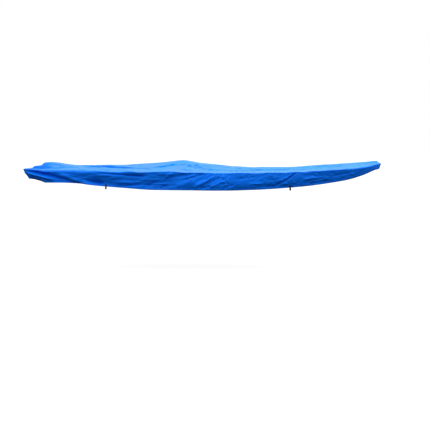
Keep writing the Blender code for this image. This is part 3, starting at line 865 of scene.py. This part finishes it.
top_points, top_uv = np.stack([top_x, top_y, top_z], axis=-1), np.stack([top_x, top_y], axis=-1)
# The fold heights also go with the points to the colour, as painted light and shade.
grids = (top_points, top_relief, top_uv, False), (skirt, skirt_relief, skirt_uv, True)
cloth = grid_object("cover_cloth", grids)
cloth_mesh = cloth.data
wall = cloth.modifiers.new("cloth", "SOLIDIFY")
wall.thickness, wall.offset = CLOTH, -1

WEAVE = 0.0011  # from thread to thread


def thread_places(tree):
    """Places along and across the cloth's threads."""
    thread = tree.add("ShaderNodeUVMap", {"uv_map": "thread"})
    return [tree.add("ShaderNodeSeparateXYZ", inputs={0: thread}, output=axis) for axis in (0, 1)]


def wave(value, pitch):
    return value.maths("SINE", value * (2 * math.pi / pitch))


def noise(tree, scale, detail, settings=None, **more):
    sockets = {"Vector": tree.add("ShaderNodeTexCoord", output=3), "Scale": scale, "Detail": detail}
    return tree.add("ShaderNodeTexNoise", settings, sockets | more)


def bump(tree, strength, distance, height, **more):
    sockets = {"Strength": strength, "Distance": distance, "Height": height}
    return tree.add("ShaderNodeBump", inputs=sockets | more)


def show_finish(tree, stops, tone, roughness, normal, more=None):
    """Ends a material's tree in a finish whose colour a tone picks between a ramp's stops."""
    colour = tree.add("ShaderNodeValToRGB", {"stops": stops}, {"Fac": tone})
    sockets = {"Base Color": colour, "Roughness": roughness, "Normal": normal} | (more or {})
    show_shader(tree, tree.add("ShaderNodeBsdfPrincipled", inputs=sockets))


def coated_polyester(name, stops):
    """Plain weave under a thin coat, mottled by weather, with fine creases, and painted light and shade on
    the folds: crests painted paler as a painted highlight with some rubbed wear, troughs darker as painted
    shade.
    """
    material, tree = new_material(name)
    u, v = thread_places(tree)
    weave = bump(tree, 0.25, 0.0002, wave(u, 2 * WEAVE) * wave(v, 2 * WEAVE))
    ridged = {"noise_type": "RIDGED_MULTIFRACTAL"}
    creases = noise(tree, 11.0, 4.0, ridged, Roughness=0.55, Distortion=0.6)
    relief = bump(tree, 0.6, 0.004, creases, Normal=weave)
    mottle = noise(tree, 3.0, 6.0)
    # The fold heights shift the tone: painted highlight on the crests and painted shade in the troughs.
    painted_fold_light = tree.add("ShaderNodeAttribute", {"attribute_name": "fold"}, output=2)
    coat = {"Specular IOR Level": 0.12, "Specular Tint": (0.25, 0.60, 1.0, 1)}
    show_finish(tree, stops, mottle + 4.0 * painted_fold_light, 0.44 + (mottle - 0.5) * 0.15, relief, coat)
    return material


blue = coated_polyester("blue_coated_polyester", [(0.3, (0.002, 0.135, 0.76)), (0.7, (0.003, 0.165, 0.88))])
reverse, tree = new_material("uncoated_reverse")
mottle = noise(tree, 5.0, 5.0)
nap = bump(tree, 0.2, 0.0003, noise(tree, 600.0, 2.0))
dull_blues = [(0.3, (0.02, 0.09, 0.33)), (0.7, (0.04, 0.13, 0.42))]
show_finish(tree, dull_blues, mottle, 0.75 + 0.15 * mottle, nap)
cloth_mesh.materials.append(blue)
cloth_mesh.materials.append(reverse)
wall.material_offset = 1
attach(cloth, "root")
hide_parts("cover")


# ------------------------------------------------------------
# The hem's stitching: two rows of blue bonded thread all the way round, one through the turned
# edge and one above it. Each stitch is a short bead of thread, drawn half into the cloth.
HEM_STITCHES = (
    # above_hem, thickness of the hem's turn there
    (0.0265, 0.0010),
    (0.0130, 0.0015),
)
HEM_THREAD = {"Pitch": 0.0085, "Stitch Length": 0.0030, "Thread": 0.0006, "Seed": 3}


def path_mesh(name, paths, closed):
    mesh = bpy.data.meshes.new(name)
    verts, edges = [], []
    for path in paths:
        start, count = len(verts), len(path)
        verts += [tuple(point) for point in path]
        edges += [(start + i, start + (i + 1) % count) for i in range(count if closed else count - 1)]
    mesh.from_pydata(verts, edges, [])
    return mesh


def stitch_tree():
    """Beads of thread along a mesh's edges, set out at a pitch and turned along them."""
    group = bpy.data.node_groups.new("stitches_along_path", "GeometryNodeTree")
    sockets = {"Path": "NodeSocketGeometry"}
    sockets |= {name: "NodeSocketFloat" for name in ("Pitch", "Stitch Length", "Thread")}
    sockets |= {"Seed": "NodeSocketInt", "Material": "NodeSocketMaterial"}
    for name, kind in sockets.items():
        group.interface.new_socket(name, in_out="INPUT", socket_type=kind)
    group.interface.new_socket("Stitches", in_out="OUTPUT", socket_type="NodeSocketGeometry")
    tree = Tree(group.nodes, group.links)
    value = {name: tree.add("NodeGroupInput", output=name) for name in sockets}
    curve = tree.add("GeometryNodeMeshToCurve", inputs={0: value["Path"]})
    evenly = {"Curve": curve, "Length": value["Pitch"]}
    places = tree.add("GeometryNodeResampleCurve", {"mode": "LENGTH"}, evenly)
    tangent = tree.add("GeometryNodeInputTangent")
    turn = tree.add("FunctionNodeAlignRotationToVector", {"axis": "X"}, {"Vector": tangent})
    bead = tree.add("GeometryNodeMeshUVSphere", inputs={"Segments": 6, "Rings": 4, "Radius": 1.0})
    spread = {2: 0.85, 3: 1.1, "Seed": value["Seed"]}
    uneven = tree.add("FunctionNodeRandomValue", {"data_type": "FLOAT"}, spread, 1)
    half = value["Stitch Length"] * uneven
    size = tree.add("ShaderNodeCombineXYZ", inputs={0: half, 1: value["Thread"], 2: value["Thread"]})
    beads = tree.add(
        "GeometryNodeInstanceOnPoints",
        inputs={"Points": places, "Instance": bead, "Rotation": turn, "Scale": size},
    )
    real = tree.add("GeometryNodeRealizeInstances", inputs={0: beads})
    sewn = tree.add("GeometryNodeSetMaterial", inputs={"Geometry": real, "Material": value["Material"]})
    tree.add("NodeGroupOutput", inputs={"Stitches": sewn})
    return group


def sew(name, paths, closed, sizes, material):
    """Stitches along paths, made by the tree and kept as a plain mesh."""
    drawn = link_object(name + "_path", path_mesh(name + "_path", paths, closed))
    modifier = drawn.modifiers.new("stitches", "NODES")
    modifier.node_group = stitches
    given = sizes | {"Material": material}
    for item in stitches.interface.items_tree:
        if item.in_out == "INPUT" and item.name in given:
            modifier[item.identifier] = given[item.name]
    graph = bpy.context.evaluated_depsgraph_get()
    sewn = bpy.data.meshes.new_from_object(drawn.evaluated_get(graph), depsgraph=graph)
    drawn.modifiers.remove(modifier)
    bpy.data.objects.remove(drawn)
    sewn.shade_smooth()
    return link_object(name, sewn)


def bonded_thread(name, stops):
    material, tree = new_material(name)
    fuzz = noise(tree, 700.0, 2.0)
    show_finish(tree, stops, fuzz, 0.45 + 0.15 * fuzz, bump(tree, 0.3, 0.0002, fuzz))
    return material


stitches = stitch_tree()
blue_thread = bonded_thread("blue_thread", [(0.3, (0.004, 0.10, 0.48)), (0.7, (0.012, 0.17, 0.66))])
rows = [skirt_row(full - above_hem, thick)[0] for above_hem, thick in HEM_STITCHES]
hem_stitches = sew("hem_stitches", rows, True, HEM_THREAD, blue_thread)
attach(hem_stitches, "root")


# ------------------------------------------------------------
# The nose seam: the cloth is closed round the nose with a felled seam, a doubled strip that runs
# from hem to hem over the top and is sewn down along both its edges. Its paler blue is a painted highlight.
SEAM_TOP_X, SEAM_HEM_X, SEAM_MIDDLE_Z, SEAM_REACH = 3.097, 3.120, -0.095, 0.5
SEAM_TURN, SEAM_STEPS = math.radians(118), 72  # from straight up to the hem, and steps from hem to hem
SEAM_ACROSS = (
    # across, height above the cloth
    (-0.0150, 0.0002),
    (-0.0132, 0.0018),
    (-0.0085, 0.0026),
    (0.0000, 0.0030),
    (0.0085, 0.0026),
    (0.0132, 0.0018),
    (0.0150, 0.0002),
)
SEAM_CLOTH = 0.0007  # the strip's own wall
SEAM_STITCHED, SEAM_SEWN = (2, 4), 0.0028  # rows across that are stitched, and how high
SEAM_STEP, SEAM_PAINTED_LIFT = 0.005, 0.01  # along the strip's threads, and how much painted highlight its colour gets
SEAM_THREAD = {"Pitch": 0.0055, "Stitch Length": 0.0020, "Thread": 0.0005, "Seed": 5}

shell = bmesh.new()
shell.from_mesh(cloth_mesh)
outer_face = BVHTree.FromBMesh(shell)
shell.free()


def lay_on_cloth(point, height):
    """The nearest place on the cloth's outer face, raised off it."""
    place, normal, _, _ = outer_face.find_nearest(Vector(point))
    return place + normal * height


def heading(points, i):
    """The way that a line of points goes at one of them."""
    return points[min(i + 1, len(points) - 1)] - points[max(i - 1, 0)]


seam_line = []
for turn in np.linspace(-SEAM_TURN, SEAM_TURN, SEAM_STEPS + 1):
    x = SEAM_TOP_X + (SEAM_HEM_X - SEAM_TOP_X) * abs(turn) / SEAM_TURN
    ray = Vector((0, math.sin(turn), math.cos(turn)))
    place, _, _, _ = outer_face.ray_cast(Vector((x, 0, SEAM_MIDDLE_Z)) + ray * SEAM_REACH, -ray)
    seam_line.append(place)
seam_points = []
for i, point in enumerate(seam_line):
    normal = lay_on_cloth(point, 1.0) - lay_on_cloth(point, 0.0)
    side = heading(seam_line, i).cross(normal).normalized()
    seam_points.append([lay_on_cloth(point + side * place, height) for place, height in SEAM_ACROSS])

grid = np.array(seam_points)
seam_uv = np.meshgrid([place for place, _ in SEAM_ACROSS], SEAM_STEP * np.arange(len(grid)))
painted_shading = np.full(grid.shape[:2], SEAM_PAINTED_LIFT)
nose_seam = grid_object("nose_seam", [(grid, painted_shading, np.stack(seam_uv, axis=-1), False)])
# The strip's blues are paler than the cloth's: a painted highlight for light caught by the raised seam.
seam_blues_painted_highlight = [(0.3, (0.005, 0.225, 0.94)), (0.7, (0.009, 0.265, 1.00))]
nose_seam.data.materials.append(coated_polyester("blue_seam_strip_painted_highlight", seam_blues_painted_highlight))
strip = nose_seam.modifiers.new("strip", "SOLIDIFY")
strip.thickness, strip.offset = SEAM_CLOTH, -1
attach(nose_seam, "root")
seam_rows = [[lay_on_cloth(row[i], SEAM_SEWN) for row in seam_points] for i in SEAM_STITCHED]
nose_stitches = sew("nose_stitches", seam_rows, False, SEAM_THREAD, blue_thread)
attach(nose_stitches, "root")


# ------------------------------------------------------------
# The loops: four straps of black ribbed webbing, two on each side, folded double round an open
# eye below the hem. Both ends lie on the skirt, sewn through with a box and a cross of thread.
WEB_WIDTH, WEB_THICKNESS, WEB_GAP = 0.025, 0.0018, 0.0004
LOOP_SEWN, LOOP_DROP, EYE_WIDTH = 0.045, 0.042, 0.016
EYE_CLOSING = ((0.62, -0.014), (0.22, -0.008), (0.0, -0.003))  # share of the width, height from the hem
RIB_PITCH, TWILL_PITCH = 0.0042, 0.0016
WEB_EDGE = (-0.9, 0, 0.9)  # angles of the points round the webbing's edge
BOX_WIDTH, BOX_LOW, BOX_HIGH, BOX_LIFT = 0.017, 0.008, 0.038, 0.0001
TAIL_PART, AXIS_RISE = 0.1, 0.05  # share of the tail that a side may have, and where its way up is read
BOX_THREAD = {"Pitch": 0.0036, "Stitch Length": 0.0013, "Thread": 0.0005, "Seed": 9}


def route_points(rows, steps):
    """Points on a smooth curve through a route's rows."""
    ends = np.concatenate([2 * rows[:1] - rows[1:2], rows, 2 * rows[-1:] - rows[-2:-1]])
    points = []
    for before, start, end, after in zip(ends, ends[1:], ends[2:], ends[3:]):
        points += [between(before, start, end, after, t) for t in np.arange(steps) / steps]
    return np.array(points + [rows[-1]])


def loop_route():
    """Middle line of the webbing, as (away from the cloth, up from the hem)."""
    inner = WEB_GAP + WEB_THICKNESS / 2
    outer = inner + WEB_THICKNESS + WEB_GAP
    eye_radius = (EYE_WIDTH + WEB_THICKNESS) / 2
    turns = np.linspace(0, math.pi, 9)
    bottom = zip(inner + eye_radius * (1 - np.cos(turns)), eye_radius * (1 - np.sin(turns)) - LOOP_DROP)
    closing = [(outer + share * EYE_WIDTH, rise) for share, rise in EYE_CLOSING]
    sewn = np.linspace(LOOP_SEWN, 0.0, 5)
    up = [(outer, rise) for rise in sewn[::-1][1:]]
    return route_points(np.array([(inner, rise) for rise in sewn] + [*bottom] + closing + up), 3), outer


def skirt_place(x, side, rise):
    """A point of the skirt's face, a length up from the hem, on one side of the cover."""
    row, _ = skirt_row(full - max(rise, 0.0))
    row = row[(np.sign(loop_y) == side) & (loop_x < FRONT_X) & (on_tail < TAIL_PART)]
    row = row[np.argsort(row[:, 0])]
    return Vector((x, np.interp(x, row[:, 0], row[:, 1]), np.interp(x, row[:, 0], row[:, 2])))


def loop_axes(x, side):
    """The directions out, up and along behind a loop, and its point on the hem."""
    hem, above = skirt_place(x, side, 0.0), skirt_place(x, side, AXIS_RISE)
    up = (above - hem).normalized()
    along = (skirt_place(x + LOOP_PATCH, side, 0.0) - skirt_place(x - LOOP_PATCH, side, 0.0)).normalized()
    return hem, along.cross(up).normalized() * -side, up, along


def on_loop(axes, x, side, away, rise):
    hem, out, up, _ = axes
    base = hem + up * rise if rise < 0 else skirt_place(x, side, rise)
    return base + out * away


black, tree = new_material("black_webbing")
u, v = thread_places(tree)
twill = wave(u + v, TWILL_PITCH)
ribbed = bump(tree, 0.5, 0.0006, wave(u, RIB_PITCH) + 0.5 * twill)
dust = noise(tree, 60.0, 5.0)
blacks = [(0.35, (0.006, 0.006, 0.008)), (0.75, (0.026, 0.027, 0.031))]
show_finish(tree, blacks, dust + 0.06 * twill, 0.62 + 0.25 * dust, ribbed)
black_thread = bonded_thread("black_thread", [(0.3, (0.010, 0.010, 0.012)), (0.7, (0.040, 0.041, 0.046))])

half_thick = WEB_THICKNESS / 2
half_flat = WEB_WIDTH / 2 - half_thick
half_ring = [(half_flat + half_thick * math.cos(t), half_thick * math.sin(t)) for t in WEB_EDGE]
half_ring += [(place, half_thick) for place in np.linspace(half_flat, -half_flat, 5)]
ring = np.array(half_ring + [(-place, -height) for place, height in half_ring])
route, outer_away = loop_route()
run = np.concatenate([[0], np.cumsum(np.hypot(*np.diff(route, axis=0).T))])
box = [(-0.5, 0), (0.5, 0), (0.5, 1), (-0.5, 1), (-0.5, 0)]
cross = [(-0.5, 0), (0.5, 1)], [(0.5, 0), (-0.5, 1)]
sewn_paths = []
for side, side_name in ((NEAR, "near"), (FAR, "far")):
    for end, x in LOOP_X.items():
        axes = loop_axes(x, side)
        along = axes[3]
        middle = [on_loop(axes, x, side, away, rise) for away, rise in route]
        rings = []
        for i, point in enumerate(middle):
            off = along.cross(heading(middle, i)).normalized()
            rings.append([point + along * place + off * height for place, height in ring])
        uvs = np.empty((len(rings), len(ring) + 1, 2))
        uvs[:, :, 0], uvs[:, :, 1] = np.append(ring[:, 0], ring[0, 0]), run[:, None]
        grid = np.array(rings)
        grids = [(grid, np.zeros(grid.shape[:2]), uvs, True)]
        loop = grid_object(f"webbing_loop_{side_name}_{end}", grids, len(ring))
        loop.data.materials.append(black)
        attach(loop, "root")
        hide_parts(f"strap_loop_{side_name}_{end}")
        for path in (box, *cross):
            sewn_path = []
            for place, share in np.array(path, dtype=float):
                rise = BOX_LOW + (BOX_HIGH - BOX_LOW) * share
                on_web = on_loop(axes, x, side, outer_away + half_thick + BOX_LIFT, rise)
                sewn_path.append(on_web + along * (place * BOX_WIDTH))
            sewn_paths.append(sewn_path)
loop_stitches = sew("loop_stitches", sewn_paths, False, BOX_THREAD, black_thread)
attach(loop_stitches, "root")
